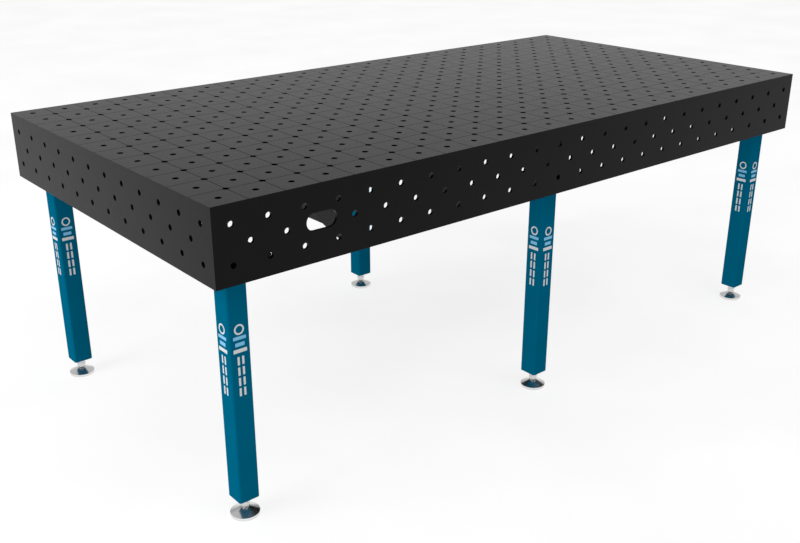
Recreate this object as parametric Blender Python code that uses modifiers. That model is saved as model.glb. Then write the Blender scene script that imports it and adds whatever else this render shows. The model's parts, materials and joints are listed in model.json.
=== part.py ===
"""Welding table: a perforated steel top and sides on ribs, six bolted tube legs and six levelling feet.

Metres. +X runs along the table, +Y from its front to its back, +Z up. The origin is on the floor under its
middle.
"""

import math

import bmesh
import bpy
from mathutils import Euler, Matrix

# Table top and its side panels
LENGTH = 2.400
WIDTH = 1.200
HEIGHT = 0.883
SIDE_HEIGHT = 0.200
SHEET = 0.008
GAP = 0.0003  # between pieces that touch

# Fixture holes: two square grids, the second in the middle of the first one's cells
HOLE_RADIUS = 0.008
HOLE_PITCH = 0.100
HOLE_SIDES = 4
HOLE_COLUMNS = 24
HOLE_ROWS = 12
SIDE_ROW_PITCH = 0.050
SIDE_ROWS = 3

# Hand slot in the front panel, in place of one hole of its middle row
SLOT_X = -0.900
SLOT_DROP = 0.095  # below the work surface, to its centre
SLOT_LENGTH = 0.090
SLOT_HEIGHT = 0.045
SLOT_END_SIDES = 6

# Ribs
CROSS_RIB_X = (-0.825, -0.425, 0.025, 0.375, 0.825)
LONG_RIB_Y = (-0.175, 0.175)
RIB_DROP = 0.146  # from the work surface to a rib's lower edge
HAUNCHED_RIBS = (1, 2)  # numbered from the left
HAUNCH_DROP = 0.175
HAUNCH_LENGTH = 0.092
MIDDLE_RIB = 3
MIDDLE_RIB_SETBACK = 0.0225  # of its ends from the side panels, over the middle legs' brackets

# Legs
TUBE = 0.060
TUBE_WALL = 0.004
TUBE_CORNER = 0.007
CORNER_SIDES = 3
LEG_BASE = 0.055  # height of a tube's lower end
PLATE = 0.150  # side of a leg's square seat, its flange and its bracket
BRACKET_DROP = 0.148  # from the work surface to a bracket's upper edges
LEG_X = LENGTH / 2 - SHEET - PLATE / 2
LEG_Y = WIDTH / 2 - SHEET - PLATE / 2
FRONT_MIDDLE_X = -0.019
BACK_MIDDLE_X = 0.070
LEGS = {
    "front_left": (-LEG_X, -LEG_Y),
    "front_middle": (FRONT_MIDDLE_X, -LEG_Y),
    "front_right": (LEG_X, -LEG_Y),
    "back_left": (-LEG_X, LEG_Y),
    "back_middle": (BACK_MIDDLE_X, LEG_Y),
    "back_right": (LEG_X, LEG_Y),
}
FLANGE_BASE = 0.692
FLANGE_CORNER = 0.004
BOLT_PITCH = 0.110
BOLT_CLEARANCE_RADIUS = 0.0065
BOLT_THREAD_RADIUS = 0.0060
BOLT_HOLE_SIDES = 6
DRILL_LENGTH = 3 * SHEET

# Levelling feet, with heights above the floor
INSERT_HEIGHT = 0.030
INSERT_CHAMFER = 0.004
THREAD_RADIUS = 0.008
THREAD_CLEARANCE = 0.0003
THREAD_SIDES = 12
HEX_ACROSS_FLATS = 0.024
HEX_BASE = 0.0280
HEX_HEIGHT = 0.0130
SPINDLE_TOP = 0.135
SPINDLE_SHOULDER = 0.0225
COLLAR_RADIUS = 0.0050
COLLAR_BASE = 0.0197
JOURNAL_RADIUS = 0.0035
JOURNAL_BASE = 0.0098
BALL_HEIGHT = 0.0145
BALL_RADIUS = 0.0065
BALL_HALF_LENGTH = 0.0049
BALL_ARC_POINTS = 5
BORE_RADIUS = 0.0038
SOCKET_RADIUS = 0.0068
SOCKET_LIP_RADIUS = 0.0059
SOCKET_ARC_POINTS = 4
DISC_RADIUS = 0.0395
DISC_EDGE = 0.001
DISC_RIM = 0.0090
DISC_HEIGHT = 0.0220
DISC_CROWN_RADIUS = 0.0115
DISC_MOUTH_RADIUS = 0.0096
DISC_SIDES = 16

# How a flat outline's own X, Y and thickness lie in the table
LYING = (0.0, 0.0, 0.0)
FACING_FRONT = (math.pi / 2, 0.0, 0.0)  # X, Z, thickness along Y
FACING_END = (math.pi / 2, 0.0, math.pi / 2)  # Y, Z, thickness along X

MERGE = 0.00001
SMOOTH_ANGLE = math.radians(35)


def clear_scene():
    for old in list(bpy.data.objects):
        bpy.data.objects.remove(old)


def new_collection(name):
    made = bpy.data.collections.new(name)
    bpy.context.scene.collection.children.link(made)
    return made


def plain_material(name, colour, roughness, metallic):
    made = bpy.data.materials.new(name)
    made.use_nodes = True
    shader = made.node_tree.nodes["Principled BSDF"]
    shader.inputs["Base Color"].default_value = (*colour, 1.0)
    shader.inputs["Roughness"].default_value = roughness
    shader.inputs["Metallic"].default_value = metallic
    return made


# Outlines: lists of (x, y) points, counter-clockwise


def centred(count, pitch):
    """Positions at an even pitch, centred on 0."""
    return [pitch * (i - (count - 1) / 2) for i in range(count)]


def polygon(x, y, radius, sides):
    """A regular polygon with the area of a circle, with flats facing the axes when it has four sides."""
    turn = 2 * math.pi / sides
    corner = radius * math.sqrt(turn / math.sin(turn))
    angles = [turn * (i + 0.5) for i in range(sides)]
    return [(x + corner * math.cos(a), y + corner * math.sin(a)) for a in angles]


def arc(x, y, radius, start, sweep, sides):
    angles = [start + sweep * i / sides for i in range(sides + 1)]
    return [(x + radius * math.cos(a), y + radius * math.sin(a)) for a in angles]


def rectangle(low_x, low_y, high_x, high_y):
    return [(low_x, low_y), (high_x, low_y), (high_x, high_y), (low_x, high_y)]


def rounded_square(side, corner, sides):
    """A square with round corners, or chamfered ones when they have one side."""
    reach = side / 2 - corner
    quarters = [(reach, reach), (-reach, reach), (-reach, -reach), (reach, -reach)]
    points = []
    for i, (x, y) in enumerate(quarters):
        points += arc(x, y, corner, i * math.pi / 2, math.pi / 2, sides)
    return points


def slot(x, y, length, height, sides):
    """A slot with round ends, along the first axis."""
    reach = (length - height) / 2
    right = arc(x + reach, y, height / 2, -math.pi / 2, math.pi, sides)
    left = arc(x - reach, y, height / 2, math.pi / 2, math.pi, sides)
    return right + left


def hexagon(across_flats):
    corner = across_flats / math.sqrt(3)
    return arc(0, 0, corner, 0, 5 * math.pi / 3, 5)


def threaded_bore():
    return polygon(0, 0, THREAD_RADIUS + THREAD_CLEARANCE, THREAD_SIDES)


def interleaved(columns, rows, pitch):
    """Centres of two square grids, one in the middle of the other's cells."""
    outer = [(x, y) for x in centred(columns, pitch) for y in centred(rows, pitch)]
    inner = [(x, y) for x in centred(columns - 1, pitch) for y in centred(rows - 1, pitch)]
    return outer + inner


def side_holes(columns):
    """Centres of a side panel's holes: three rows, the middle one shifted by half a pitch."""
    places = []
    for row in range(SIDE_ROWS):
        count = columns - row % 2
        height = HEIGHT - SIDE_ROW_PITCH * (row + 1)
        places += [(x, height) for x in centred(count, HOLE_PITCH)]
    return places


def holes(places):
    return [polygon(x, y, HOLE_RADIUS, HOLE_SIDES) for x, y in places]


def bolt_holes(radius):
    half = BOLT_PITCH / 2
    return [polygon(x, y, radius, BOLT_HOLE_SIDES) for x in (-half, half) for y in (-half, half)]


# Meshes


def outline_curve(name, outlines, thickness):
    """A flat piece: its outer edge and its holes, filled and extruded about its middle plane."""
    curve = bpy.data.curves.new(name, "CURVE")
    curve.dimensions = "2D"
    curve.fill_mode = "BOTH"
    curve.extrude = thickness / 2
    for points in outlines:
        spline = curve.splines.new("POLY")
        spline.points.add(len(points) - 1)
        for point, (x, y) in zip(spline.points, points):
            point.co = (x, y, 0.0, 1.0)
        spline.use_cyclic_u = True
    return curve


def evaluated_mesh(obj):
    """The mesh of an object's evaluated shape, with its caps joined to its sides."""
    bpy.context.view_layer.update()
    depsgraph = bpy.context.evaluated_depsgraph_get()
    mesh = bpy.data.meshes.new_from_object(obj.evaluated_get(depsgraph), depsgraph=depsgraph)
    shape = bmesh.new()
    shape.from_mesh(mesh)
    bmesh.ops.remove_doubles(shape, verts=shape.verts, dist=MERGE)
    shape.to_mesh(mesh)
    shape.free()
    return mesh


def flat_mesh(name, outlines, thickness, rotation=LYING):
    """A flat piece as a mesh about its middle plane, turned as it lies in the table."""
    flat = bpy.data.objects.new(name, outline_curve(name, outlines, thickness))
    bpy.context.scene.collection.objects.link(flat)
    mesh = evaluated_mesh(flat)
    bpy.data.objects.remove(flat)
    mesh.transform(Euler(rotation).to_matrix().to_4x4())
    return mesh


def plate_mesh(name, outlines, thickness, base):
    """A lying flat piece as a mesh, with its lower face at a height."""
    mesh = flat_mesh(name, outlines, thickness)
    mesh.transform(Matrix.Translation((0.0, 0.0, base + thickness / 2)))
    return mesh


def turned_mesh(name, profile, sides, closed=False):
    """A profile of (radius, height) points, outer side downwards, turned about Z."""
    mesh = bpy.data.meshes.new(name)
    edges = [(i, i + 1) for i in range(len(profile) - 1)]
    if closed:
        edges.append((len(profile) - 1, 0))
    mesh.from_pydata([(radius, 0.0, height) for radius, height in profile], edges, [])
    lathe = bpy.data.objects.new(name, mesh)
    bpy.context.scene.collection.objects.link(lathe)
    screw = lathe.modifiers.new("turn", "SCREW")
    screw.steps = sides
    screw.render_steps = sides
    screw.use_merge_vertices = True
    screw.merge_threshold = MERGE
    turned = evaluated_mesh(lathe)
    bpy.data.objects.remove(lathe)
    turned.shade_smooth()
    turned.set_sharp_from_angle(angle=SMOOTH_ANGLE)
    return turned


def boolean_mesh(name, mesh, tool_mesh, operation, cutters):
    """One mesh cut by another or joined with it. The tool stays in the cutters' collection."""
    base = bpy.data.objects.new(name, mesh)
    tool = bpy.data.objects.new(f"{name}_tool", tool_mesh)
    cutters.objects.link(tool)
    tool.hide_render = True
    tool.display_type = "WIRE"
    bpy.context.scene.collection.objects.link(base)
    boolean = base.modifiers.new("shape", "BOOLEAN")
    boolean.operation = operation
    boolean.object = tool
    result = evaluated_mesh(base)
    bpy.data.objects.remove(base)
    return result


# Pieces of one leg, on its axis, with heights above the floor unless said


def channel_mesh(half, bottom, top):
    """A square length of channel along Y, with its webs upwards."""
    inside = half - SHEET
    floor = bottom + SHEET
    profile = [
        (-half, bottom),
        (half, bottom),
        (half, top),
        (inside, top),
        (inside, floor),
        (-inside, floor),
        (-inside, top),
        (-half, top),
    ]
    return flat_mesh("channel", [profile], 2 * half, FACING_FRONT)


def bracket_mesh(cutters):
    """A channel over the leg's seat: a base for the flange and two webs that run back from the side panel."""
    bottom = FLANGE_BASE + SHEET + GAP
    channel = channel_mesh(PLATE / 2 - GAP, bottom, HEIGHT - BRACKET_DROP)
    drills = plate_mesh("drills", bolt_holes(BOLT_THREAD_RADIUS), DRILL_LENGTH, bottom - SHEET)
    return boolean_mesh("leg_bracket", channel, drills, "DIFFERENCE", cutters)


def flange_mesh():
    outer = rounded_square(PLATE - 2 * GAP, FLANGE_CORNER, 1)
    return plate_mesh("leg_flange", [outer, *bolt_holes(BOLT_CLEARANCE_RADIUS)], SHEET, FLANGE_BASE)


def tube_mesh():
    outer = rounded_square(TUBE, TUBE_CORNER, CORNER_SIDES)
    inner = rounded_square(TUBE - 2 * TUBE_WALL, TUBE_CORNER - TUBE_WALL, CORNER_SIDES)
    return plate_mesh("leg_tube", [outer, inner], FLANGE_BASE - GAP - LEG_BASE, LEG_BASE)


def insert_mesh():
    outer = rounded_square(TUBE - 2 * (TUBE_WALL + GAP), INSERT_CHAMFER, 1)
    return plate_mesh("leg_insert", [outer, threaded_bore()], INSERT_HEIGHT, LEG_BASE)


def nut_mesh():
    base = HEX_BASE + HEX_HEIGHT + GAP
    height = LEG_BASE - GAP - base
    return plate_mesh("lock_nut", [hexagon(HEX_ACROSS_FLATS), threaded_bore()], height, base)


def spindle_mesh(cutters):
    """Threaded rod with a hexagon to turn it by, and a collar and journal that stand in the ball."""
    profile = [
        (0.0, SPINDLE_TOP),
        (THREAD_RADIUS, SPINDLE_TOP),
        (THREAD_RADIUS, SPINDLE_SHOULDER),
        (COLLAR_RADIUS, SPINDLE_SHOULDER),
        (COLLAR_RADIUS, COLLAR_BASE),
        (JOURNAL_RADIUS, COLLAR_BASE),
        (JOURNAL_RADIUS, JOURNAL_BASE),
        (0.0, JOURNAL_BASE),
    ]
    rod = turned_mesh("spindle", profile, THREAD_SIDES)
    head = plate_mesh("spindle_hexagon", [hexagon(HEX_ACROSS_FLATS)], HEX_HEIGHT, HEX_BASE)
    return boolean_mesh("spindle", rod, head, "UNION", cutters)


def ball_mesh():
    """A ball with flat ends and a bore for the spindle's journal, about its own centre."""
    lean = math.asin(BALL_HALF_LENGTH / BALL_RADIUS)
    outer = arc(0, 0, BALL_RADIUS, lean, -2 * lean, BALL_ARC_POINTS - 1)
    bore = [(BORE_RADIUS, -BALL_HALF_LENGTH), (BORE_RADIUS, BALL_HALF_LENGTH)]
    return turned_mesh("swivel_ball", outer + bore, THREAD_SIDES, closed=True)


def disc_mesh():
    """A flat cone with a socket that holds the ball from above, about the ball's centre."""
    lean = math.acos(SOCKET_LIP_RADIUS / SOCKET_RADIUS)
    socket = arc(0, 0, SOCKET_RADIUS, -math.pi / 2, math.pi / 2 + lean, SOCKET_ARC_POINTS)
    crown = DISC_HEIGHT - BALL_HEIGHT
    profile = [
        (0.0, -SOCKET_RADIUS),
        *socket[1:],
        (DISC_MOUTH_RADIUS, crown),
        (DISC_CROWN_RADIUS, crown),
        (DISC_RADIUS, DISC_RIM - BALL_HEIGHT),
        (DISC_RADIUS, DISC_EDGE - BALL_HEIGHT),
        (DISC_RADIUS - DISC_EDGE, -BALL_HEIGHT),
        (0.0, -BALL_HEIGHT),
    ]
    return turned_mesh("foot_disc", profile, DISC_SIDES)


# The table


def add_piece(name, data, finish, collection, location=(0.0, 0.0, 0.0), rotation=LYING, parent=None):
    piece = bpy.data.objects.new(name, data)
    piece.location = location
    piece.rotation_euler = rotation
    piece.parent = parent
    if not data.materials:
        data.materials.append(finish)
    collection.objects.link(piece)
    return piece


def add_top(finish, collection):
    outer = rectangle(-LENGTH / 2, -WIDTH / 2, LENGTH / 2, WIDTH / 2)
    drilled = holes(interleaved(HOLE_COLUMNS, HOLE_ROWS, HOLE_PITCH))
    plate = outline_curve("top_plate", [outer, *drilled], SHEET)
    add_piece("top_plate", plate, finish, collection, (0.0, 0.0, HEIGHT - SHEET / 2))


def add_side_panels(finish, collection):
    """Front and back panels run the whole length, and the end panels stand between them."""
    bottom = HEIGHT - SIDE_HEIGHT
    top = HEIGHT - SHEET - GAP
    inset = SHEET / 2
    long_outline = rectangle(-LENGTH / 2, bottom, LENGTH / 2, top)
    end_reach = WIDTH / 2 - SHEET - GAP
    end_outline = rectangle(-end_reach, bottom, end_reach, top)
    long_places = side_holes(HOLE_COLUMNS)
    front_places = [place for place in long_places if not in_slot(*place)]
    hand_slot = slot(SLOT_X, HEIGHT - SLOT_DROP, SLOT_LENGTH, SLOT_HEIGHT, SLOT_END_SIDES)
    front = outline_curve("front_panel", [long_outline, hand_slot, *holes(front_places)], SHEET)
    back = outline_curve("back_panel", [long_outline, *holes(long_places)], SHEET)
    end = outline_curve("end_panel", [end_outline, *holes(side_holes(HOLE_ROWS))], SHEET)
    add_piece("front_panel", front, finish, collection, (0.0, inset - WIDTH / 2, 0.0), FACING_FRONT)
    add_piece("back_panel", back, finish, collection, (0.0, WIDTH / 2 - inset, 0.0), FACING_FRONT)
    add_piece("left_end_panel", end, finish, collection, (inset - LENGTH / 2, 0.0, 0.0), FACING_END)
    add_piece("right_end_panel", end, finish, collection, (LENGTH / 2 - inset, 0.0, 0.0), FACING_END)


def in_slot(x, height):
    return abs(x - SLOT_X) < SLOT_LENGTH / 2 and abs(height - HEIGHT + SLOT_DROP) < SLOT_HEIGHT / 2


def notches(places, root, edge):
    """Points of half-lap notches along a rib's edge, in the order of the places."""
    half = SHEET / 2 + GAP
    points = []
    for x in places:
        step = half if places[0] < places[-1] else -half
        points += [(x - step, edge), (x - step, root), (x + step, root), (x + step, edge)]
    return points


def add_cross_ribs(finish, collection):
    """Ribs across the table, notched from below for the long ribs. Two have haunches at their ends."""
    top = HEIGHT - SHEET - GAP
    low = HEIGHT - RIB_DROP
    lap = (top + low) / 2
    for number, x in enumerate(CROSS_RIB_X, start=1):
        end = WIDTH / 2 - SHEET - (MIDDLE_RIB_SETBACK if number == MIDDLE_RIB else GAP)
        haunch = HEIGHT - HAUNCH_DROP if number in HAUNCHED_RIBS else low
        bottom = [(-end, haunch), (HAUNCH_LENGTH - end, low), *notches(LONG_RIB_Y, lap + GAP, low)]
        bottom += [(end - HAUNCH_LENGTH, low), (end, haunch)]
        rib = outline_curve(f"cross_rib_{number}", [[*bottom, (end, top), (-end, top)]], SHEET)
        add_piece(f"cross_rib_{number}", rib, finish, collection, (x, 0.0, 0.0), FACING_END)


def add_long_ribs(finish, collection):
    """Ribs along the table, notched from above for the cross ribs."""
    end = LENGTH / 2 - SHEET - GAP
    top = HEIGHT - SHEET - GAP
    low = HEIGHT - RIB_DROP
    lap = (top + low) / 2
    upper = notches(CROSS_RIB_X[::-1], lap - GAP, top)
    outline = [(-end, low), (end, low), (end, top), *upper, (-end, top)]
    for side, y in zip(("front", "back"), LONG_RIB_Y):
        rib = outline_curve(f"long_rib_{side}", [outline], SHEET)
        add_piece(f"long_rib_{side}", rib, finish, collection, (0.0, y, 0.0), FACING_FRONT)


def add_legs(finishes, collection, cutters):
    """Six legs and feet, each on an empty at its axis on the floor."""
    on_floor = {
        "leg_bracket": (bracket_mesh(cutters), finishes["rib_steel"]),
        "leg_flange": (flange_mesh(), finishes["leg_paint"]),
        "leg_tube": (tube_mesh(), finishes["leg_paint"]),
        "leg_insert": (insert_mesh(), finishes["leg_paint"]),
        "lock_nut": (nut_mesh(), finishes["zinc"]),
        "spindle": (spindle_mesh(cutters), finishes["zinc"]),
    }
    on_ball = {
        "swivel_ball": (ball_mesh(), finishes["zinc"]),
        "foot_disc": (disc_mesh(), finishes["polished_steel"]),
    }
    for leg, (x, y) in LEGS.items():
        axis = bpy.data.objects.new(f"{leg}_axis", None)
        axis.location = (x, y, 0.0)
        collection.objects.link(axis)
        for piece, (mesh, finish) in on_floor.items():
            add_piece(f"{piece}_{leg}", mesh, finish, collection, parent=axis)
        for piece, (mesh, finish) in on_ball.items():
            centre = (0.0, 0.0, BALL_HEIGHT)
            add_piece(f"{piece}_{leg}", mesh, finish, collection, centre, parent=axis)


def main():
    clear_scene()
    table = new_collection("welding_table")
    cutters = new_collection("cutters")
    finishes = {
        "top_steel": plain_material("top_steel", (0.085, 0.085, 0.088), 0.55, 0.6),
        "panel_steel": plain_material("panel_steel", (0.020, 0.020, 0.021), 0.5, 0.6),
        "rib_steel": plain_material("rib_steel", (0.030, 0.030, 0.031), 0.6, 0.6),
        "leg_paint": plain_material("leg_paint", (0.0, 0.105, 0.185), 0.45, 0.0),
        "zinc": plain_material("zinc", (0.62, 0.62, 0.61), 0.35, 1.0),
        "polished_steel": plain_material("polished_steel", (0.72, 0.72, 0.72), 0.12, 1.0),
    }
    add_top(finishes["top_steel"], table)
    add_side_panels(finishes["panel_steel"], table)
    add_cross_ribs(finishes["rib_steel"], table)
    add_long_ribs(finishes["rib_steel"], table)
    add_legs(finishes, table, cutters)


main()
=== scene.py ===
import json
import math

import bmesh
import bpy
from mathutils import Matrix, Vector
from mathutils.geometry import tessellate_polygon

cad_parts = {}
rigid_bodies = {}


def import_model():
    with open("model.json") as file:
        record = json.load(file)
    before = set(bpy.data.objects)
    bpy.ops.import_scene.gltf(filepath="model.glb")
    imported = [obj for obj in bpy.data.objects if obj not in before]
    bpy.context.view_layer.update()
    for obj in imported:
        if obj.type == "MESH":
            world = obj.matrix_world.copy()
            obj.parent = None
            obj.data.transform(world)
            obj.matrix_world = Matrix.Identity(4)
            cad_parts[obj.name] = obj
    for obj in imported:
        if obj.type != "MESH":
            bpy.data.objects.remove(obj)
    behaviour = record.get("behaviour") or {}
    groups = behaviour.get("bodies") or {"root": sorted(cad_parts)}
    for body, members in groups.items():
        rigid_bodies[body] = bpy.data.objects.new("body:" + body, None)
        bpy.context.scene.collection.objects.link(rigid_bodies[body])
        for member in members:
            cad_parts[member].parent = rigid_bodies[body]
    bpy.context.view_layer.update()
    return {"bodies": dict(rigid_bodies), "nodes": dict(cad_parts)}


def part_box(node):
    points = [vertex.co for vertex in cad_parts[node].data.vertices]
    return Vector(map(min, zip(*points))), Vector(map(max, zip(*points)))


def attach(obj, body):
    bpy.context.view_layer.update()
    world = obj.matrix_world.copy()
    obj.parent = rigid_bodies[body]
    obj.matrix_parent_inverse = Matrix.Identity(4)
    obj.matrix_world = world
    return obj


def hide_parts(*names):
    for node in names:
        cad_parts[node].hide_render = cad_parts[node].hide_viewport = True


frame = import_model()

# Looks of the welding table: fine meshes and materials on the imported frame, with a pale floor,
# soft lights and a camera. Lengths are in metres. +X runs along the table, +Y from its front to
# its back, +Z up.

# Sizes read from the frame, in metres
TOP_LOW, TOP_HIGH = (Vector(corner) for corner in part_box("top_plate"))
HALF_LENGTH = TOP_HIGH.x
HALF_WIDTH = TOP_HIGH.y
SURFACE = TOP_HIGH.z
UNDERSIDE = TOP_LOW.z
SHEET = SURFACE - UNDERSIDE
SIDE_BOTTOM = Vector(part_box("front_panel")[0]).z
LEGS = [body[: -len("_disc")] for body in frame["bodies"] if body.endswith("_disc")]
CROSS_RIBS = sorted(node for node in frame["nodes"] if node.startswith("cross_rib_"))
LONG_RIBS = ("long_rib_front", "long_rib_back")

# Fixture holes and engraved lines
PITCH = 0.100
COLUMNS = round(2 * HALF_LENGTH / PITCH)
ROWS = round(2 * HALF_WIDTH / PITCH)
SIDE_ROWS = 3
HOLE_RADIUS = 0.008
QUARTER_STEPS = 8
HOLE_STEPS = 4 * QUARTER_STEPS
HOLE_CHAMFER = 0.0005
LINE_HALF_WIDTH = 0.0009
LINE_DEPTH = 0.0007
SIDE_CHAMFER = 0.0001
SIDE_HOLE_CHAMFER = 0.0003

# The top's material slots
LINE_FINISH = 1
EDGE_FINISH = 2
# Bore walls: a near-black material with almost no shine, which paints shade into the holes
BORE_PAINTED_SHADE = 3

# Hand slot of the front panel
SLOT_X = -0.900
SLOT_DROP = 0.095  # of its middle under the work surface
SLOT_LENGTH = 0.090
SLOT_WIDTH = 0.045
SLOT_END_STEPS = 12

# Legs
GAP = 0.0003
TUBE = 0.060
TUBE_WALL = 0.004
TUBE_CORNER = 0.007
TUBE_CHAMFER = 0.0006
PLATE = 0.150
PLATE_CORNER = 0.006
PLATE_CHAMFER = 0.0008
PLUG_CORNER = 0.0048
PLUG_CHAMFER = 0.0006
PLUG_BORE_CHAMFER = 0.0008
BOLT_PITCH = 0.110
BOLT_HOLE_RADIUS = 0.0065
BOLT_HOLE_CHAMFER = 0.0004
BOLT_RADIUS = 0.0058
BOLT_FLATS = 0.019
BOLT_HEAD = 0.0075
BOLT_REACH = 0.022  # of its tip above the flange's underside
WASHER = 0.0025
WASHER_RADIUS = 0.0120
WASHER_BORE = 0.0066
WASHER_EDGE = 0.0004

# Feet, with heights from the floor
THREAD_RADIUS = 0.008
THREAD_PITCH = 0.002
THREAD_ROOT = 0.00677
SHANK_RADIUS = 0.0078
HEX_FLATS = 0.024
HEX_HEIGHT = 0.013
HEX_CROWN = 0.97  # of half the flats' width, where the corners begin to fall
BALL_LOW, BALL_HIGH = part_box("swivel_ball_front_left")
BALL_HEIGHT = (BALL_LOW[2] + BALL_HIGH[2]) / 2
BALL_RADIUS = 0.0065
BALL_HALF_LENGTH = 0.0049
BALL_BORE = 0.0038
SHOULDER_HEIGHT = BALL_HEIGHT + 0.0080
COLLAR_HEIGHT = BALL_HEIGHT + 0.0052
COLLAR_RADIUS = 0.0050
JOURNAL_RADIUS = 0.0035
SOCKET_RADIUS = 0.0068
SOCKET_MOUTH = 0.0059
DISC_RADIUS = 0.0395
DISC_RIM = 0.0090
DISC_HEIGHT = 0.0220

# Marks on the legs. A drop is measured down from the work surface.
MARK_FILM = 0.00015
MARK_EDGE = 0.00003
MARK_CORNER = 0.001
MARK_STANDOFF = 0.00002
RING_DROP = 0.3395
RING_RADII = (0.0140, 0.0095)
BLUE_BLOCKS = ((0.3620, 0.036, 0.009), (0.3790, 0.026, 0.010))  # drop, width, height
GREY_BLOCK = (0.3960, 0.038, 0.010)  # drop, width, height
DASH_DROP = 0.4230
DASH_PITCH = 0.0285
DASH_SIZE = (0.006, 0.0225)
DASH_OFFSET = 0.0065
DASH_ROWS = 4
BLUE_FILM = 1  # its material slot

# Weld beads
BEAD_LEG = 0.005
BEAD_RIPPLE = 0.0035
STITCH_LENGTH = 0.060
STITCHES_ACROSS = 7
STITCHES_ALONG = 12

# Camera
CAMERA_X = -2.2175
CAMERA_Y = -2.4692
CAMERA_ABOVE_SURFACE = 0.6895
CAMERA_HEADING = math.radians(50.09)
CAMERA_PITCH = math.radians(-21.97)
LENS_MM = 44.97
SENSOR_MM = 36.0
VIEW_SHIFT = 0.0006  # left and up

# Lighting
FLOOR_SIDE = 60.0
FLOOR_GLOW = 3.8
ZENITH_LIGHT = 0.6
HORIZON_SPREAD = 0.1

# How a flat shape's own X, Y and thickness lie in the table
LYING = Matrix.Identity(4)
FACING_FRONT = Matrix.Rotation(math.pi / 2, 4, "X")
FACING_END = Matrix.Rotation(math.pi / 2, 4, "Z") @ FACING_FRONT

MERGE = 0.000002  # vertices this close become one


# Outlines. Each is a function of how far it is grown outwards, and gives (x, y) points.


def rounded(x, y, length, height, corner, steps):
    """A rectangle with round corners."""

    def points(grow=0.0):
        reach_x = length / 2 - corner
        reach_y = height / 2 - corner
        result = []
        for quarter, (sx, sy) in enumerate(((1, 1), (-1, 1), (-1, -1), (1, -1))):
            for step in range(steps + 1):
                angle = (quarter + step / steps) * math.pi / 2
                reach = corner + grow
                across = x + sx * reach_x + reach * math.cos(angle)
                up = y + sy * reach_y + reach * math.sin(angle)
                result.append((across, up))
        return result

    return points


def rectangle(x, y, length, height):
    def points(grow=0.0):
        a = length / 2 + grow
        b = height / 2 + grow
        return [(x + a, y + b), (x - a, y + b), (x - a, y - b), (x + a, y - b)]

    return points


def circle(x, y, radius, steps=HOLE_STEPS):
    def points(grow=0.0):
        reach = radius + grow
        turns = [2 * math.pi * i / steps for i in range(steps)]
        return [(x + reach * math.cos(t), y + reach * math.sin(t)) for t in turns]

    return points


# Meshes


def finished(shape, name, smooth_angle):
    """A mesh from a bmesh: doubles merged, faces turned out, and smooth across small angles."""
    bmesh.ops.remove_doubles(shape, verts=shape.verts, dist=MERGE)
    bmesh.ops.recalc_face_normals(shape, faces=shape.faces)
    mesh = bpy.data.meshes.new(name)
    shape.to_mesh(mesh)
    shape.free()
    mesh.shade_smooth()
    mesh.set_sharp_from_angle(angle=math.radians(smooth_angle))
    return mesh


def add_ring(shape, points, height):
    return [shape.verts.new((x, y, height)) for x, y in points]


def bridge(shape, low, high, closed=True, material=0):
    """Joins two rings, or two open rows, by a band of faces."""
    count = len(low)
    for i in range(count if closed else count - 1):
        j = (i + 1) % count
        face = shape.faces.new((low[i], low[j], high[j], high[i]))
        face.material_index = material


def cap(shape, rings):
    """Fills a flat region bounded by its first ring, less the others."""
    loops = [[vertex.co.copy() for vertex in ring] for ring in rings]
    vertices = [vertex for ring in rings for vertex in ring]
    for triangle in tessellate_polygon(loops):
        shape.faces.new([vertices[i] for i in triangle])


def sheet_mesh(name, outer, holes, low, high, chamfer, hole_chamfer):
    shape = bmesh.new()
    add_sheet(shape, outer, holes, low, high, chamfer, hole_chamfer)
    return finished(shape, name, 30)


def add_sheet(shape, outer, holes, low, high, chamfer, hole_chamfer):
    """A plate between two heights, with chamfered edges, from the outlines of its rim and holes."""
    walls = [(outer, chamfer, -1)]
    walls += [(hole, hole_chamfer, 1) for hole in holes]
    for outline, cut, sign in walls:
        levels = [(sign * cut, low), (0.0, low + cut), (0.0, high - cut), (sign * cut, high)]
        rings = [add_ring(shape, outline(grow), height) for grow, height in levels]
        for below, above in zip(rings, rings[1:]):
            bridge(shape, below, above)
        outline_ends = (rings[0], rings[-1])
        if outline is outer:
            ends = [[end] for end in outline_ends]
        else:
            for end, ring in zip(ends, outline_ends):
                end.append(ring)
    for end in ends:
        cap(shape, end)


def turned_mesh(name, profile, steps, smooth_angle):
    shape = bmesh.new()
    add_turned(shape, profile, steps)
    return finished(shape, name, smooth_angle)


def add_turned(shape, profile, steps, centre=(0.0, 0.0)):
    """A profile of (radius, height) points, turned about an upright axis. Points on it close it."""
    x, y = centre
    rings = []
    for radius, height in profile:
        if radius == 0.0:
            rings.append([shape.verts.new((x, y, height))])
        else:
            rings.append(add_ring(shape, circle(x, y, radius, steps)(), height))
    for first, second in zip(rings, rings[1:]):
        if len(first) == 1:
            fan(shape, first[0], second)
        elif len(second) == 1:
            fan(shape, second[0], first)
        else:
            bridge(shape, first, second)


def fan(shape, tip, ring):
    """Joins a ring to a single vertex."""
    for i, vertex in enumerate(ring):
        shape.faces.new((tip, vertex, ring[(i + 1) % len(ring)]))


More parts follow.
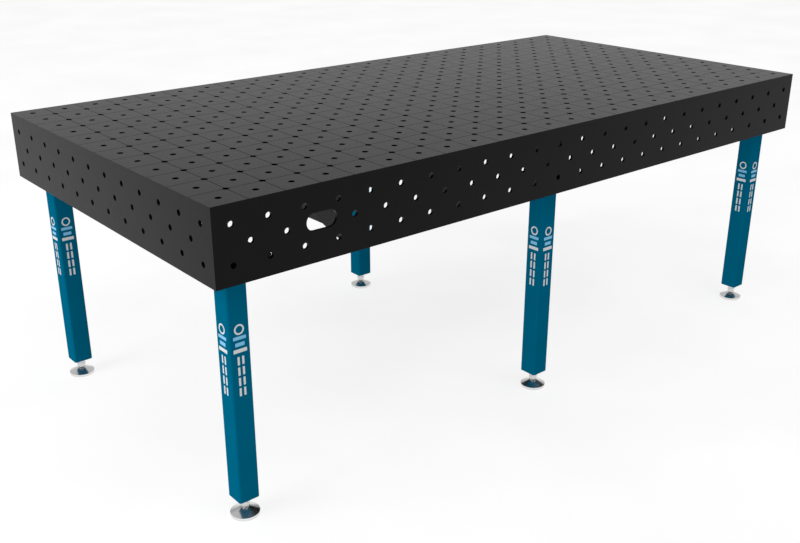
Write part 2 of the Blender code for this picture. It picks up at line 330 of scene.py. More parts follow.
def add_hexagon(shape, flats, low, high, bore, centre=(0.0, 0.0), turn=0.0):
    """A hexagon about a bore, its corners turned off at 30 degrees as on nuts and bolt heads."""
    steps = 60
    crown = flats / 2 * HEX_CROWN
    slope = math.tan(math.radians(30))
    angles = [2 * math.pi * i / steps for i in range(steps)]
    sixth = math.pi / 3
    reach = [flats / 2 / math.cos((a + sixth / 2) % sixth - sixth / 2) for a in angles]

    def ring(radii, heights):
        x, y = centre
        return [
            shape.verts.new((x + r * math.cos(a + turn), y + r * math.sin(a + turn), z))
            for a, r, z in zip(angles, radii, heights)
        ]

    drop = [(r - crown) * slope for r in reach]
    rings = [
        ring([bore] * steps, [low] * steps),
        ring([crown] * steps, [low] * steps),
        ring(reach, [low + d for d in drop]),
        ring(reach, [high - d for d in drop]),
        ring([crown] * steps, [high] * steps),
        ring([bore] * steps, [high] * steps),
    ]
    for first, second in zip(rings, [*rings[1:], rings[0]]):
        bridge(shape, first, second)


def add_thread(shape, low, high):
    """A helical ridge of triangular section with a flat crest, on its root cylinder."""
    steps = 32
    turns = (high - low) / THREAD_PITCH - 1
    crest_low, crest_high = 0.42, 0.58
    section = (
        (0.0, THREAD_ROOT),
        (crest_low, THREAD_RADIUS),
        (crest_high, THREAD_RADIUS),
        (1.0, THREAD_ROOT),
    )
    rows = []
    for i in range(int(turns * steps) + 1):
        angle = 2 * math.pi * i / steps
        height = low + THREAD_PITCH * i / steps
        rows.append([
            shape.verts.new((r * math.cos(angle), r * math.sin(angle), height + up * THREAD_PITCH))
            for up, r in section
        ])
    for first, second in zip(rows, rows[1:]):
        bridge(shape, first, second, closed=False)


# The perforated top: a grid of tiles, each with a hole in its middle, a quarter hole at each
# inner corner, and engraved lines along its inner sides


def tile(edges):
    """One tile about its centre, as points and faces.

    edges says which of its sides (+X, +Y, -X, -Y) end the plate.
    """
    half = PITCH / 2
    shape = bmesh.new()
    tops, feet, bases = [], [], []
    for k in range(4):
        top, low_in, low_out, base = tile_corner(shape, k, half, edges[k], edges[(k + 1) % 4])
        tops.append(top)
        feet.append((low_in, low_out))
        bases.append(base)
    for k in range(4):
        before = (k - 1) % 4
        groove = (tops[before][-1], feet[before][1], feet[k][0], tops[k][0])
        if edges[k]:
            rim = [*groove[:2], bases[before][-1], bases[k][0], *groove[2:]]
            face = shape.faces.new(list(dict.fromkeys(rim)))
            face.material_index = EDGE_FINISH
        else:
            face = shape.faces.new(groove)
            face.material_index = LINE_FINISH
    centre = circle(0.0, 0.0, HOLE_RADIUS)
    levels = (
        (HOLE_CHAMFER, 0.0),
        (0.0, -HOLE_CHAMFER),
        (0.0, HOLE_CHAMFER - SHEET),
        (HOLE_CHAMFER, -SHEET),
    )
    # The bore's near-black material is painted shade inside the hole
    rings = [add_ring(shape, centre(grow), height) for grow, height in levels]
    for above, below in zip(rings, rings[1:]):
        bridge(shape, above, below, material=BORE_PAINTED_SHADE)
    cap(shape, [[v for top in tops for v in top], rings[0]])
    cap(shape, [[v for base in bases for v in base], rings[-1]])
    bmesh.ops.recalc_face_normals(shape, faces=shape.faces)
    shape.verts.index_update()
    points = [v.co.copy() for v in shape.verts]
    faces = [([v.index for v in face.verts], face.material_index) for face in shape.faces]
    shape.free()
    return points, faces


def tile_corner(shape, k, half, edge_x, edge_y):
    """Corner k of a tile: its rim above, the ends of its two lines' floors, and its rim below.

    edge_x and edge_y say which of its two sides, in the corner's own frame, end the plate.
    """
    turn = Matrix.Rotation(k * math.pi / 2, 4, "Z")

    def vertex(x, y, z):
        return shape.verts.new(turn @ Vector((x, y, z)))

    if edge_x or edge_y:
        rim_x = half if edge_x else half - LINE_HALF_WIDTH
        rim_y = half if edge_y else half - LINE_HALF_WIDTH
        top = [vertex(rim_x, rim_y, 0.0)]
        low = top[0] if edge_x and edge_y else vertex(half, half, -LINE_DEPTH)
        return top, low, low, [vertex(half, half, -SHEET)]
    outer = HOLE_RADIUS + HOLE_CHAMFER
    lean = math.asin(LINE_HALF_WIDTH / outer)
    start = math.radians(270)

    def arc(radius, height, inset):
        sweep = math.pi / 2 - 2 * inset
        angles = [start - inset - sweep * i / QUARTER_STEPS for i in range(QUARTER_STEPS + 1)]
        return [
            vertex(half + radius * math.cos(a), half + radius * math.sin(a), height)
            for a in angles
        ]

    top = arc(outer, 0.0, lean)
    neck = arc(HOLE_RADIUS, -HOLE_CHAMFER, 0.0)
    waist = arc(HOLE_RADIUS, HOLE_CHAMFER - SHEET, 0.0)
    base = arc(outer, -SHEET, 0.0)
    for above, below in ((top, neck), (neck, waist), (waist, base)):
        bridge(shape, above, below, closed=False, material=BORE_PAINTED_SHADE)
    low_in = vertex(half, half - HOLE_RADIUS, -LINE_DEPTH)
    low_out = vertex(half - HOLE_RADIUS, half, -LINE_DEPTH)
    shape.faces.new((top[0], low_in, neck[0]))
    shape.faces.new((top[-1], neck[-1], low_out))
    return top, low_in, low_out, base


def top_mesh():
    tiles = {}
    shape = bmesh.new()
    for i in range(COLUMNS):
        for j in range(ROWS):
            edges = (i == COLUMNS - 1, j == ROWS - 1, i == 0, j == 0)
            if edges not in tiles:
                tiles[edges] = tile(edges)
            points, faces = tiles[edges]
            x = (i + 0.5) * PITCH - HALF_LENGTH
            y = (j + 0.5) * PITCH - HALF_WIDTH
            shift = Vector((x, y, SURFACE))
            vertices = [shape.verts.new(point + shift) for point in points]
            for corners, material in faces:
                face = shape.faces.new([vertices[c] for c in corners])
                face.material_index = material
    return finished(shape, "perforated_top", 30)


# Placing pieces


def add_piece(name, mesh, finishes, body="root", stands_for=(), place=LYING):
    """Puts a mesh in the scene, with its finishes and body, and hides the CAD nodes it stands for.
    """
    piece = bpy.data.objects.new(name, mesh)
    bpy.context.scene.collection.objects.link(piece)
    piece.matrix_world = place
    for finish in finishes:
        if finish.name not in mesh.materials:
            mesh.materials.append(finish)
    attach(piece, body)
    if stands_for:
        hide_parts(*stands_for)


def at(x, y, z):
    return Matrix.Translation((x, y, z))


def leg_axis(leg):
    low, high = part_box(f"foot_disc_{leg}")
    return (low[0] + high[0]) / 2, (low[1] + high[1]) / 2


def centred(count):
    return [PITCH * (i - (count - 1) / 2) for i in range(count)]


def side_places(columns):
    """Centres of a side panel's holes, in rows, each second one shifted by half a pitch."""
    return [
        (x, SURFACE - PITCH / 2 * (row + 1))
        for row in range(SIDE_ROWS)
        for x in centred(columns - row % 2)
    ]


# Materials


class Nodes:
    """A material's node tree, with short calls to add to it."""

    def __init__(self, name):
        self.material = bpy.data.materials.new(name)
        self.material.use_nodes = True
        self.tree = self.material.node_tree
        self.shader = self.tree.nodes["Principled BSDF"]
        coordinates = self.tree.nodes.new("ShaderNodeTexCoord")
        self.place = coordinates.outputs["Object"]

    def add(self, kind, **settings):
        node = self.tree.nodes.new(kind)
        for key, value in settings.items():
            setattr(node, key, value)
        return node

    def link(self, source, target):
        self.tree.links.new(source, target)

    def noise(self, scale, detail, roughness, vector=None):
        node = self.add("ShaderNodeTexNoise")
        node.inputs["Scale"].default_value = scale
        node.inputs["Detail"].default_value = detail
        node.inputs["Roughness"].default_value = roughness
        self.link(vector or self.place, node.inputs["Vector"])
        return node.outputs["Fac"]

    def ranged(self, value, low, high):
        """A noise's usual spread, from 0.3 to 0.7, stretched between low and high."""
        node = self.add("ShaderNodeMapRange")
        node.inputs["From Min"].default_value = 0.3
        node.inputs["From Max"].default_value = 0.7
        node.inputs["To Min"].default_value = low
        node.inputs["To Max"].default_value = high
        self.link(value, node.inputs["Value"])
        return node.outputs["Result"]

    def blend(self, factor, first, second):
        """A colour between two, by a factor from 0 to 1."""
        node = self.add("ShaderNodeMix", data_type="RGBA")
        self.link(factor, node.inputs["Factor"])
        for socket, colour in (("A", first), ("B", second)):
            target = next(s for s in node.inputs if s.name == socket and s.type == "RGBA")
            target.default_value = (*colour, 1.0)
        return next(s for s in node.outputs if s.type == "RGBA")

    def bump(self, height, strength, distance):
        node = self.add("ShaderNodeBump")
        node.inputs["Strength"].default_value = strength
        node.inputs["Distance"].default_value = distance
        self.link(height, node.inputs["Height"])
        return node.outputs["Normal"]

    def finish(self, colour, roughness, normal=None, **values):
        """Links what varies to the shader, sets its other values, and gives the material."""
        for name, source in (("Base Color", colour), ("Roughness", roughness), ("Normal", normal)):
            if source is not None:
                self.link(source, self.shader.inputs[name])
        for name, value in values.items():
            self.shader.inputs[name.replace("_", " ")].default_value = value
        return self.material


def dark_steel(name, dark, light, rough_low, rough_high, ior):
    """Dark steel sheet: cloudy tone, fine grain, and a shine that grows at a low angle."""
    nodes = Nodes(name)
    clouds = nodes.ranged(nodes.noise(5.0, 5.0, 0.6), 0.0, 1.0)
    tone = nodes.blend(clouds, dark, light)
    roughness = nodes.ranged(nodes.noise(38.0, 6.0, 0.65), rough_low, rough_high)
    normal = nodes.bump(nodes.noise(900.0, 3.0, 0.6), 0.08, 0.00008)
    return nodes.finish(tone, roughness, normal, Metallic=0.0, IOR=ior)


def leg_paint():
    """Blue powder coat with a fine orange-peel skin."""
    nodes = Nodes("blue_powder_coat")
    clouds = nodes.ranged(nodes.noise(9.0, 4.0, 0.5), 0.0, 1.0)
    tone = nodes.blend(clouds, (0.0, 0.090, 0.163), (0.0, 0.096, 0.174))
    roughness = nodes.ranged(nodes.noise(60.0, 4.0, 0.6), 0.42, 0.52)
    peel = nodes.bump(nodes.noise(700.0, 2.0, 0.5), 0.35, 0.00012)
    return nodes.finish(tone, roughness, peel, Metallic=0.0, Specular_IOR_Level=0.0)


def plated(name, tone_low, tone_high, rough_low, rough_high):
    """Bright zinc plating, a little cloudy."""
    nodes = Nodes(name)
    clouds = nodes.ranged(nodes.noise(160.0, 5.0, 0.6), 0.0, 1.0)
    tone = nodes.blend(clouds, tone_low, tone_high)
    roughness = nodes.ranged(nodes.noise(420.0, 4.0, 0.6), rough_low, rough_high)
    normal = nodes.bump(nodes.noise(2600.0, 2.0, 0.5), 0.15, 0.00004)
    return nodes.finish(tone, roughness, normal, Metallic=1.0)


def polished_steel():
    """Polished stainless steel with fine turning rings about the foot's axis."""
    nodes = Nodes("polished_stainless")
    split = nodes.add("ShaderNodeSeparateXYZ")
    nodes.link(nodes.place, split.inputs[0])
    flat = nodes.add("ShaderNodeCombineXYZ")
    nodes.link(split.outputs["X"], flat.inputs["X"])
    nodes.link(split.outputs["Y"], flat.inputs["Y"])
    distance = nodes.add("ShaderNodeVectorMath", operation="LENGTH")
    nodes.link(flat.outputs[0], distance.inputs[0])
    along = nodes.add("ShaderNodeCombineXYZ")
    nodes.link(distance.outputs["Value"], along.inputs["X"])
    rings = nodes.noise(2200.0, 4.0, 0.7, along.outputs[0])
    clouds = nodes.ranged(nodes.noise(70.0, 4.0, 0.6), 0.0, 1.0)
    tone = nodes.blend(clouds, (0.74, 0.74, 0.74), (0.80, 0.80, 0.79))
    roughness = nodes.ranged(rings, 0.17, 0.24)
    normal = nodes.bump(rings, 0.12, 0.00003)
    return nodes.finish(tone, roughness, normal, Metallic=1.0)


def printed(name, tone):
    """Printed film: an even colour with a faint mottle."""
    nodes = Nodes(name)
    dark = tuple(0.92 * c for c in tone)
    colour = nodes.blend(nodes.ranged(nodes.noise(400.0, 3.0, 0.5), 0.0, 1.0), dark, tone)
    roughness = nodes.ranged(nodes.noise(900.0, 2.0, 0.5), 0.38, 0.48)
    return nodes.finish(colour, roughness, Metallic=0.0)


def weld_metal():
    """Bare weld bead with straw and blue heat tints."""
    nodes = Nodes("weld_metal")
    tint = nodes.ranged(nodes.noise(90.0, 4.0, 0.6), 0.0, 1.0)
    tone = nodes.blend(tint, (0.10, 0.085, 0.07), (0.07, 0.08, 0.10))
    roughness = nodes.ranged(nodes.noise(500.0, 4.0, 0.6), 0.35, 0.6)
    normal = nodes.bump(nodes.noise(1500.0, 3.0, 0.6), 0.3, 0.0001)
    return nodes.finish(tone, roughness, normal, Metallic=0.8)


def pale_floor():
    """A white studio floor that is lit mostly from within, so shadows on it stay faint."""
    nodes = Nodes("pale_floor")
    clouds = nodes.ranged(nodes.noise(1.5, 3.0, 0.5), 0.0, 1.0)
    tone = nodes.blend(clouds, (0.21, 0.21, 0.21), (0.22, 0.22, 0.22))
    roughness = nodes.ranged(nodes.noise(30.0, 3.0, 0.5), 0.85, 0.95)
    nodes.link(tone, nodes.shader.inputs["Emission Color"])
    return nodes.finish(tone, roughness, Metallic=0.0, IOR=1.05, Emission_Strength=FLOOR_GLOW)


# Pieces


def add_top(finishes):
    add_piece(
        "perforated_top",
        top_mesh(),
        [finishes["top"], finishes["line"], finishes["side"], finishes["bore"]],
        stands_for=["top_plate"],
    )


def add_sides(finish):
    height = UNDERSIDE - SIDE_BOTTOM
    middle = (UNDERSIDE + SIDE_BOTTOM) / 2
    long_edge = rectangle(0.0, middle, 2 * HALF_LENGTH, height)
    end_edge = rectangle(0.0, middle, 2 * (HALF_WIDTH - SHEET), height)
    slot_place = (SLOT_X, SURFACE - SLOT_DROP)
    slot_end = SLOT_WIDTH / 2
    slot_outline = rounded(*slot_place, SLOT_LENGTH, SLOT_WIDTH, slot_end, SLOT_END_STEPS)
    long_places = side_places(COLUMNS)
    front_places = [place for place in long_places if math.dist(place, slot_place) > slot_end]
    front_holes = [circle(*place, HOLE_RADIUS) for place in front_places]
    back_holes = [circle(*place, HOLE_RADIUS) for place in long_places]
    end_holes = [circle(*place, HOLE_RADIUS) for place in side_places(ROWS)]
    inset = SHEET / 2
    across = (-inset, inset, SIDE_CHAMFER, SIDE_HOLE_CHAMFER)
    front = sheet_mesh("front_side", long_edge, [slot_outline, *front_holes], *across)
    back = sheet_mesh("back_side", long_edge, back_holes, *across)
    end = sheet_mesh("end_side", end_edge, end_holes, *across)
    placed = (
        ("front_side", front, at(0.0, inset - HALF_WIDTH, 0.0) @ FACING_FRONT, "front_panel"),
        ("back_side", back, at(0.0, HALF_WIDTH - inset, 0.0) @ FACING_FRONT, "back_panel"),
        ("left_end_side", end, at(inset - HALF_LENGTH, 0.0, 0.0) @ FACING_END, "left_end_panel"),
        ("right_end_side", end, at(HALF_LENGTH - inset, 0.0, 0.0) @ FACING_END, "right_end_panel"),
    )
    for name, mesh, place, node in placed:
        add_piece(name, mesh, [finish], stands_for=[node], place=place)


def leg_meshes():
    """Meshes that the six legs share, on a leg's axis, with heights above the floor."""
    tube_low, tube_high = (corner[2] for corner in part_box("leg_tube_front_left"))
    flange_low, flange_high = (corner[2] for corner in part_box("leg_flange_front_left"))
    insert_low, insert_high = (corner[2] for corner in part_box("leg_insert_front_left"))
    outer = rounded(0, 0, TUBE, TUBE, TUBE_CORNER, 8)
    inner = rounded(0, 0, TUBE - 2 * TUBE_WALL, TUBE - 2 * TUBE_WALL, TUBE_CORNER - TUBE_WALL, 6)
    seat = rounded(0, 0, PLATE - 2 * GAP, PLATE - 2 * GAP, PLATE_CORNER, 6)
    bolt_holes = [circle(x, y, BOLT_HOLE_RADIUS, 24) for x, y in bolt_places()]
    plug_side = TUBE - 2 * (TUBE_WALL + GAP)
    plug = rounded(0, 0, plug_side, plug_side, PLUG_CORNER, 6)
    thread = circle(0, 0, THREAD_RADIUS + GAP, 48)
    tube_cuts = (TUBE_CHAMFER, TUBE_CHAMFER)
    flange_cuts = (PLATE_CHAMFER, BOLT_HOLE_CHAMFER)
    plug_cuts = (PLUG_CHAMFER, PLUG_BORE_CHAMFER)
    return {
        "tube": sheet_mesh("tube", outer, [inner], tube_low, tube_high, *tube_cuts),
        "flange": sheet_mesh("flange", seat, bolt_holes, flange_low, flange_high, *flange_cuts),
        "plug": sheet_mesh("plug", plug, [thread], insert_low, insert_high, *plug_cuts),
        "bolts": bolts_mesh(flange_low),
        "washers": washers_mesh(flange_low),
        "nut": nut_mesh(),
        "screw": spindle_mesh(),
        "ball": ball_mesh(),
        "disc": disc_mesh(),
    }


def bolt_places():
    half = BOLT_PITCH / 2
    return [(x, y) for x in (-half, half) for y in (-half, half)]


def bolts_mesh(seat):
    """Four hexagon bolts under a flange, their ends standing out above the bracket's base."""
    shape = bmesh.new()
    head_high = seat - WASHER
    head_low = head_high - BOLT_HEAD
    tip = seat + BOLT_REACH
    point = 0.0008  # the chamfer at the tip
    dish = 0.0006  # each of two steps that hollow the head
    for number, (x, y) in enumerate(bolt_places()):
        turn = 0.4 + 0.7 * number
        add_hexagon(shape, BOLT_FLATS, head_low, head_high, BOLT_RADIUS, (x, y), turn)
        profile = [
            (0.0, tip),
            (BOLT_RADIUS - point, tip),
            (BOLT_RADIUS, tip - point),
            (BOLT_RADIUS, head_low + dish),
            (BOLT_RADIUS - point, head_low + 2 * dish),
            (0.0, head_low + 2 * dish),
        ]
        add_turned(shape, profile, 24, (x, y))
    return finished(shape, "flange_bolts", 25)


def washers_mesh(seat):
    shape = bmesh.new()
    low = seat - WASHER
    profile = [
        (WASHER_BORE, seat),
        (WASHER_RADIUS - WASHER_EDGE, seat),
        (WASHER_RADIUS, seat - WASHER_EDGE),
        (WASHER_RADIUS, low + WASHER_EDGE),
        (WASHER_RADIUS - WASHER_EDGE, low),
        (WASHER_BORE, low),
        (WASHER_BORE, seat),
    ]
    for place in bolt_places():
        add_turned(shape, profile, 48, place)
    return finished(shape, "flange_washers", 25)


def nut_mesh():
    low, high = (corner[2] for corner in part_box("lock_nut_front_left"))
    shape = bmesh.new()
    add_hexagon(shape, HEX_FLATS, low, high, THREAD_RADIUS + GAP)
    return finished(shape, "lock_nut", 20)


def spindle_mesh():
    """Plain shank, hexagon and thread, with the collar and journal that stand in the ball."""
    tip_radius, tip_cut = 0.0058, 0.001
    shoulder_cut, journal_cut = 0.0006, 0.0004
    shank_gap, root_gap = 0.0005, 0.0015  # above the hexagon
    journal_end, top = (corner[2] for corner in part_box("spindle_front_left"))
    nut_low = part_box("lock_nut_front_left")[0][2]
    hex_high = nut_low - GAP
    hex_low = hex_high - HEX_HEIGHT
    shape = bmesh.new()
    profile = [
        (0.0, top),
        (tip_radius, top),
        (THREAD_ROOT, top - tip_cut),
        (THREAD_ROOT, hex_high + root_gap),
        (SHANK_RADIUS, hex_high + shank_gap),
        (SHANK_RADIUS, SHOULDER_HEIGHT + shoulder_cut),
        (SHANK_RADIUS - shoulder_cut, SHOULDER_HEIGHT),
        (COLLAR_RADIUS, SHOULDER_HEIGHT),
        (COLLAR_RADIUS, COLLAR_HEIGHT),
        (JOURNAL_RADIUS, COLLAR_HEIGHT),
        (JOURNAL_RADIUS, journal_end + journal_cut),
        (JOURNAL_RADIUS - journal_cut, journal_end),
        (0.0, journal_end),
    ]
    add_turned(shape, profile, 48)
    add_hexagon(shape, HEX_FLATS, hex_low, hex_high, THREAD_ROOT)
    add_thread(shape, hex_high + 0.001, top - 0.0005)
    return finished(shape, "spindle", 25)


def ball_mesh():
    """A bored ball with flat ends, about its own centre."""
    lean = math.asin(BALL_HALF_LENGTH / BALL_RADIUS)
    steps = 16
    angles = [lean - 2 * lean * i / steps for i in range(steps + 1)]
    profile = [(BALL_RADIUS * math.cos(a), BALL_RADIUS * math.sin(a)) for a in angles]
    profile += [(BALL_BORE, -BALL_HALF_LENGTH), (BALL_BORE, BALL_HALF_LENGTH), profile[0]]
    return turned_mesh("ball", profile, 48, 35)


def disc_mesh():
    """A polished cone with a rolled rim and a socket for the ball, about the ball's centre."""
    lean = math.acos(SOCKET_MOUTH / SOCKET_RADIUS)
    steps = 12
    sweep = math.pi / 2 + lean
    angles = [-math.pi / 2 + sweep * i / steps for i in range(1, steps + 1)]
    profile = [(0.0, -SOCKET_RADIUS)]
    profile += [(SOCKET_RADIUS * math.cos(a), SOCKET_RADIUS * math.sin(a)) for a in angles]
    mouth, lip_inside, lip_outside, cone_top = 0.0096, 0.0100, 0.0111, 0.0119
    outside = [
        (mouth, DISC_HEIGHT - 0.0004),
        (lip_inside, DISC_HEIGHT),
        (lip_outside, DISC_HEIGHT),
        (cone_top, DISC_HEIGHT - 0.0003),
        (DISC_RADIUS - 0.0007, DISC_RIM + 0.0002),
        (DISC_RADIUS - 0.0002, DISC_RIM),
        (DISC_RADIUS, DISC_RIM - 0.0005),
        (DISC_RADIUS, 0.0010),
        (DISC_RADIUS - 0.0010, 0.0),
        (DISC_RADIUS - 0.0035, 0.0),
        (DISC_RADIUS - 0.0043, 0.0006),
        (0.0, 0.0006),
    ]
    profile += [(radius, height - BALL_HEIGHT) for radius, height in outside]
    return turned_mesh("disc", profile, 128, 25)


def add_legs(finishes):
    """Each leg's pieces. A row gives a piece's mesh, finish, body, slot and CAD node, if any."""
    meshes = leg_meshes()
    for leg in LEGS:
        x, y = leg_axis(leg)
        pieces = (
            ("tube", "paint", "root", "leg_paint", "leg_tube"),
            ("flange", "paint", "root", "leg_paint", "leg_flange"),
            ("plug", "paint", "root", "leg_paint", "leg_insert"),
            ("bolts", "zinc", "root", "zinc_plated_steel", None),
            ("washers", "zinc", "root", "zinc_plated_steel", None),
            ("nut", "zinc", f"{leg}_nut", "zinc_plated_steel", "lock_nut"),
            ("screw", "zinc", f"{leg}_spindle", "zinc_plated_steel", "spindle"),
            ("ball", "zinc", f"{leg}_ball", "zinc_plated_steel", "swivel_ball"),
            ("disc", "polished", f"{leg}_disc", "polished_steel", "foot_disc"),
        )
        for piece, finish, body, slot, node in pieces:
            origin = BALL_HEIGHT if piece in ("ball", "disc") else 0.0
            name = f"{piece}_{leg}"
            stands_for = [f"{node}_{leg}"] if node else ()
            place = at(x, y, origin)
            add_piece(name, meshes[piece], [finishes[finish]], body, stands_for, place)


# Marks on the legs


def marks_mesh():
    """Plain printed blocks and a ring, in the plane of a leg's face: X across, Y up."""
    shape = bmesh.new()

    def film(outline, holes=()):
        add_sheet(shape, outline, holes, 0.0, MARK_FILM, MARK_EDGE, MARK_EDGE)

    def block(x, drop, size, material=0):
        before = set(shape.faces)
        film(rounded(x, SURFACE - drop, *size, MARK_CORNER, 4))
        for face in set(shape.faces) - before:
            face.material_index = material

    outer, inner = (circle(0.0, SURFACE - RING_DROP, radius) for radius in RING_RADII)
    film(outer, [inner])
    for drop, *size in BLUE_BLOCKS:
        block(0.0, drop, size, BLUE_FILM)
    drop, *size = GREY_BLOCK
    block(0.0, drop, size)
    for number in range(DASH_ROWS):
        for side in (-1, 1):
            block(side * DASH_OFFSET, DASH_DROP + DASH_PITCH * number, DASH_SIZE)
    return finished(shape, "leg_marks", 30)


def add_marks(finishes):
    mesh = marks_mesh()
    face = TUBE / 2 + MARK_STANDOFF
    to_front = FACING_FRONT
    to_left = Matrix.Rotation(-math.pi / 2, 4, "Z") @ FACING_FRONT
    films = [finishes["mark_grey"], finishes["mark_blue"]]
    for leg in LEGS:
        x, y = leg_axis(leg)
        on_front = at(x, y - face, 0.0) @ to_front
        on_left = at(x - face, y, 0.0) @ to_left
        add_piece(f"front_marks_{leg}", mesh, films, place=on_front)
        add_piece(f"left_marks_{leg}", mesh, films, place=on_left)


# Weld beads


def add_bead(shape, start, end, upward, outward):
    """A rippled fillet bead from start to end, in the corner between two directions."""
    length = (end - start).length
    ripple_steps, arc_steps = 4, 4
    ripple_depth, end_size, hollow = 0.16, 0.35, 0.18
    steps = round(length / BEAD_RIPPLE * ripple_steps)
    along = (end - start) / steps
    rows = []
    for i in range(steps + 1):
        swell = 1.0 - ripple_depth * (i % ripple_steps) / ripple_steps
        if i in (0, steps):
            swell = end_size
        centre = start + along * i
        reach = BEAD_LEG * swell
        row = [centre]
        for k in range(arc_steps + 1):
            turn = k / arc_steps * math.pi / 2
            bulge = 1.0 - hollow * math.sin(2 * turn)
            away = outward * math.cos(turn) + upward * math.sin(turn)
            row.append(centre + away * reach * bulge)
        rows.append([shape.verts.new(point) for point in row])
    for first, second in zip(rows, rows[1:]):
        bridge(shape, first, second)
    shape.faces.new(rows[0])
    shape.faces.new(rows[-1])


def stitches(low, high, count):
    """The two ends of each stitch, evenly spaced."""
    step = (high - low) / count
    middles = [low + step * (i + 0.5) for i in range(count)]
    return [(middle - STITCH_LENGTH / 2, middle + STITCH_LENGTH / 2) for middle in middles]


def add_rib_welds(finish):
    """Stitches along both faces of each rib, under the top."""
    down = Vector((0, 0, -1))
    shape = bmesh.new()
    for rib in CROSS_RIBS:
        low, high = (Vector(corner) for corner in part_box(rib))
        for a, b in stitches(low.y, high.y, STITCHES_ACROSS):
            for x, side in ((low.x, -1), (high.x, 1)):
                start, end = (Vector((x, y, UNDERSIDE)) for y in (a, b))
                add_bead(shape, start, end, down, Vector((side, 0, 0)))
    for rib in LONG_RIBS:
        low, high = (Vector(corner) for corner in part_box(rib))
        for a, b in stitches(low.x, high.x, STITCHES_ALONG):
            for y, side in ((low.y, -1), (high.y, 1)):
                start, end = (Vector((x, y, UNDERSIDE)) for x in (a, b))
                add_bead(shape, start, end, down, Vector((0, side, 0)))
    add_piece("rib_welds", finished(shape, "rib_welds", 60), [finish])


def add_leg_welds(finish):
    """The painted bead round each tube under its flange."""
    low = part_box("leg_flange_front_left")[0][2]
    down = Vector((0, 0, -1))
    shape = bmesh.new()
    face = TUBE / 2
    reach = face - TUBE_CORNER
    for quarter in range(4):
        turn = Matrix.Rotation(quarter * math.pi / 2, 3, "Z")
        outward = turn @ Vector((1, 0, 0))
        start = turn @ Vector((face, -reach, 0)) + Vector((0, 0, low))
        end = turn @ Vector((face, reach, 0)) + Vector((0, 0, low))
        add_bead(shape, start, end, down, outward)
    mesh = finished(shape, "leg_weld", 60)
    for leg in LEGS:
        x, y = leg_axis(leg)
        add_piece(f"flange_weld_{leg}", mesh, [finish], place=at(x, y, 0.0))


def finish_cad_nodes(finishes):
    """Materials of the CAD nodes that stay in view: ribs and brackets."""
    for name, node in frame["nodes"].items():
        if name.startswith(("cross_rib", "long_rib", "leg_bracket")):
            node.data.materials.clear()
            node.data.materials.append(finishes["rib"])


def add_floor(finish):
    bpy.ops.mesh.primitive_plane_add(size=FLOOR_SIDE, location=(0.0, 0.0, 0.0))
    floor = bpy.context.object
    floor.name = "floor"
    floor.data.materials.append(finish)


def add_camera():
    data = bpy.data.cameras.new("camera")
    data.lens = LENS_MM
    data.sensor_width = SENSOR_MM
    data.clip_end = 200.0
    data.shift_x = -VIEW_SHIFT
    data.shift_y = VIEW_SHIFT
    camera = bpy.data.objects.new("camera", data)
    camera.location = (CAMERA_X, CAMERA_Y, SURFACE + CAMERA_ABOVE_SURFACE)
    level = math.cos(CAMERA_PITCH)
    ahead = Vector((
        math.cos(CAMERA_HEADING) * level,
        math.sin(CAMERA_HEADING) * level,
        math.sin(CAMERA_PITCH),
    ))
    camera.rotation_euler = ahead.to_track_quat("-Z", "Y").to_euler()
    bpy.context.scene.collection.objects.link(camera)
    bpy.context.scene.camera = camera


def add_light(name, location, target, size, power, mirrored=True):
    """A soft light panel. One that isn't mirrored leaves no reflection of itself in the steel."""
    data = bpy.data.lights.new(name, "AREA")
    data.shape = "RECTANGLE"
    data.size, data.size_y = size
    data.energy = power
    light = bpy.data.objects.new(name, data)
    light.visible_camera = False
    light.visible_glossy = mirrored
    light.location = location
    ahead = Vector(target) - Vector(location)
    light.rotation_euler = ahead.to_track_quat("-Z", "Y").to_euler()
    bpy.context.scene.collection.objects.link(light)


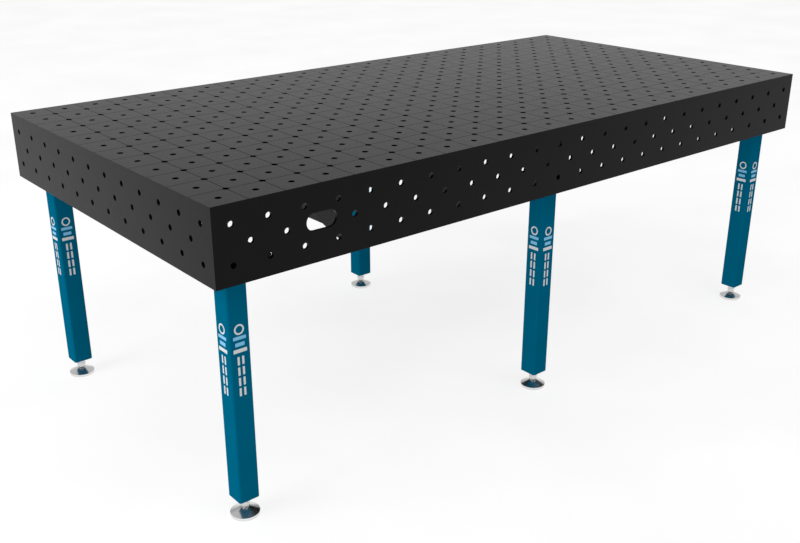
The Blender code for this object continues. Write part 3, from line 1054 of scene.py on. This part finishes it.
def add_sky(tree):
    """A dome that is white at the horizon and falls off to a light grey above it."""
    background = tree.nodes["Background"]
    background.inputs["Color"].default_value = (1.0, 1.0, 1.0, 1.0)
    direction = tree.nodes.new("ShaderNodeTexCoord")
    split = tree.nodes.new("ShaderNodeSeparateXYZ")
    tree.links.new(direction.outputs["Generated"], split.inputs[0])
    value = split.outputs["Z"]
    steps = (
        ("MAXIMUM", 0.0),
        ("MULTIPLY", -1.0 / HORIZON_SPREAD),
        ("EXPONENT", None),
        ("MULTIPLY", 1.0 - ZENITH_LIGHT),
        ("ADD", ZENITH_LIGHT),
    )
    for operation, amount in steps:
        node = tree.nodes.new("ShaderNodeMath")
        node.operation = operation
        tree.links.new(value, node.inputs[0])
        if amount is not None:
            node.inputs[1].default_value = amount
        value = node.outputs[0]
    tree.links.new(value, background.inputs["Strength"])


def add_lights():
    world = bpy.data.worlds.new("studio")
    world.use_nodes = True
    add_sky(world.node_tree)
    bpy.context.scene.world = world
    add_light("key", (-5.5, 0.5, 4.5), (0.0, 0.5, 0.5), (3.0, 3.0), 150.0)
    add_light("low_key", (-14.0, 0.0, 1.3), (0.0, 0.0, 0.4), (8.0, 2.0), 600.0, mirrored=False)
    add_light("fill", (0.0, -4.5, 7.0), (0.0, 0.0, 0.5), (5.0, 3.0), 90.0)
    bpy.context.scene.view_settings.view_transform = "Standard"


def main():
    # The engraved lines' dark tone is the etching's own; on the bore walls the same dark tone with
    # almost no shine is painted shade in the holes
    etching_and_bore_shade_dark, etching_and_bore_shade_light = (0.0005, 0.0005, 0.0005), (0.0015, 0.0015, 0.0015)
    top_dark, top_light = (0.0012, 0.0012, 0.0013), (0.0028, 0.0028, 0.0029)
    side_dark, side_light = (0.0030, 0.0030, 0.0031), (0.0042, 0.0042, 0.0043)
    rib_dark, rib_light = (0.010, 0.010, 0.011), (0.018, 0.018, 0.019)
    finishes = {
        "top": dark_steel("top_steel", top_dark, top_light, 0.26, 0.29, 1.214),
        "line": dark_steel("engraved_line", etching_and_bore_shade_dark, etching_and_bore_shade_light, 0.6, 0.7, 1.02),
        "bore": dark_steel("bore_painted_shade", etching_and_bore_shade_dark, etching_and_bore_shade_light, 0.5, 0.6, 1.03),
        "side": dark_steel("side_steel", side_dark, side_light, 0.28, 0.33, 1.168),
        "rib": dark_steel("rib_steel", rib_dark, rib_light, 0.40, 0.55, 1.30),
        "paint": leg_paint(),
        "zinc": plated("zinc_plating", (0.60, 0.60, 0.60), (0.72, 0.72, 0.71), 0.22, 0.36),
        "polished": polished_steel(),
        "mark_grey": printed("light_grey_print", (0.55, 0.57, 0.58)),
        "mark_blue": printed("light_blue_print", (0.14, 0.42, 0.66)),
        "weld": weld_metal(),
    }
    add_camera()
    add_lights()
    add_floor(pale_floor())
    add_top(finishes)
    add_sides(finishes["side"])
    finish_cad_nodes(finishes)
    add_legs(finishes)
    add_marks(finishes)
    add_rib_welds(finishes["weld"])
    add_leg_welds(finishes["paint"])


main()
